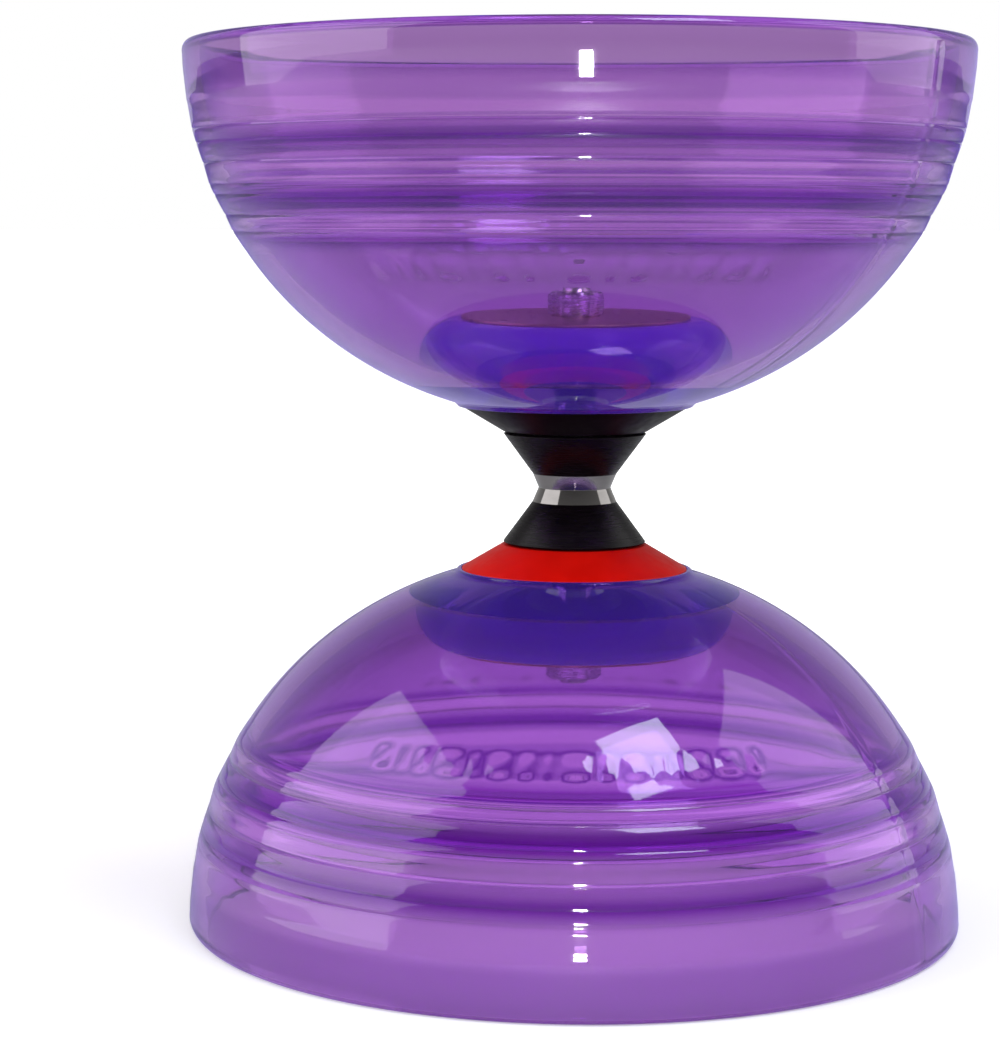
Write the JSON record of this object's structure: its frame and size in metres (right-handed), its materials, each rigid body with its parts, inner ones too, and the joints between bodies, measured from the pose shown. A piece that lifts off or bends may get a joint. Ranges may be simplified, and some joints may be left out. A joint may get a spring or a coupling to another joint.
{
  "type": "diabolo",
  "caption": "Bearing diabolo: two hollow round cups on a shaft, with a conical spool between them that spins on ball bearings and a one-way clutch.",
  "frame": {"origin": "middle of the shaft, half way between the two rims", "axes": "+Z along the shaft, towards the cup with the black cone washer; the diabolo is round about Z"},
  "size_m": [0.127, 0.127, 0.1438],
  "materials": {
    "purple_cup": "clear glossy purple plastic",
    "black_washer": "satin black",
    "red_washer": "satin red",
    "red_ring": "satin red",
    "inner_washer": "plain washer, warm grey",
    "nut_steel": "zinc-plated steel",
    "shaft_steel": "ground steel",
    "spacer_steel": "ground steel",
    "bearing_steel": "polished bearing steel",
    "ball_steel": "polished bearing steel",
    "shield_steel": "pressed steel",
    "polished_steel": "mirror-polished steel",
    "black_anodised": "satin black anodised, finely turned",
    "clutch_steel": "drawn steel",
    "clutch_plastic": "natural nylon",
    "brass_cage": "pressed brass"
  },
  "bodies": {
    "cups": {"upper_cup": "purple_cup", "lower_cup": "purple_cup", "upper_cone_washer": "black_washer", "lower_cone_washer": "red_washer", "upper_centring_ring": "red_ring", "lower_centring_ring": "red_ring", "upper_inner_washer": "inner_washer", "lower_inner_washer": "inner_washer", "upper_nut": "nut_steel", "lower_nut": "nut_steel", "shaft": "shaft_steel", "upper_spacer": "spacer_steel", "lower_spacer": "spacer_steel", "upper_bearing_inner_ring": "bearing_steel", "lower_bearing_inner_ring": "bearing_steel"},
    "spool": {"centre_sleeve": "polished_steel", "upper_spool_cone": "black_anodised", "lower_spool_cone": "black_anodised", "clutch_shell": "clutch_steel", "clutch_cage": "clutch_plastic", "clutch_rollers": "bearing_steel", "upper_bearing_outer_ring": "bearing_steel", "lower_bearing_outer_ring": "bearing_steel", "upper_bearing_shields": "shield_steel", "lower_bearing_shields": "shield_steel"},
    "upper_ball_set": {"upper_bearing_balls": "ball_steel", "upper_bearing_cage": "brass_cage"},
    "lower_ball_set": {"lower_bearing_balls": "ball_steel", "lower_bearing_cage": "brass_cage"}
  },
  "joints": [
    {"name": "spool_spin", "type": "hinge", "parent": "cups", "child": "spool", "pos_m": [0, 0, 0], "axis": [0, 0, 1], "continuous": true},
    {"name": "upper_ball_orbit", "type": "hinge", "parent": "cups", "child": "upper_ball_set", "pos_m": [0, 0, 0.0065], "axis": [0, 0, 1], "continuous": true},
    {"name": "lower_ball_orbit", "type": "hinge", "parent": "cups", "child": "lower_ball_set", "pos_m": [0, 0, -0.0065], "axis": [0, 0, 1], "continuous": true}
  ],
  "couplings": [
    {"joint": "upper_ball_orbit", "follows": "spool_spin", "ratio": 0.6044},
    {"joint": "lower_ball_orbit", "follows": "spool_spin", "ratio": 0.6044}
  ]
}
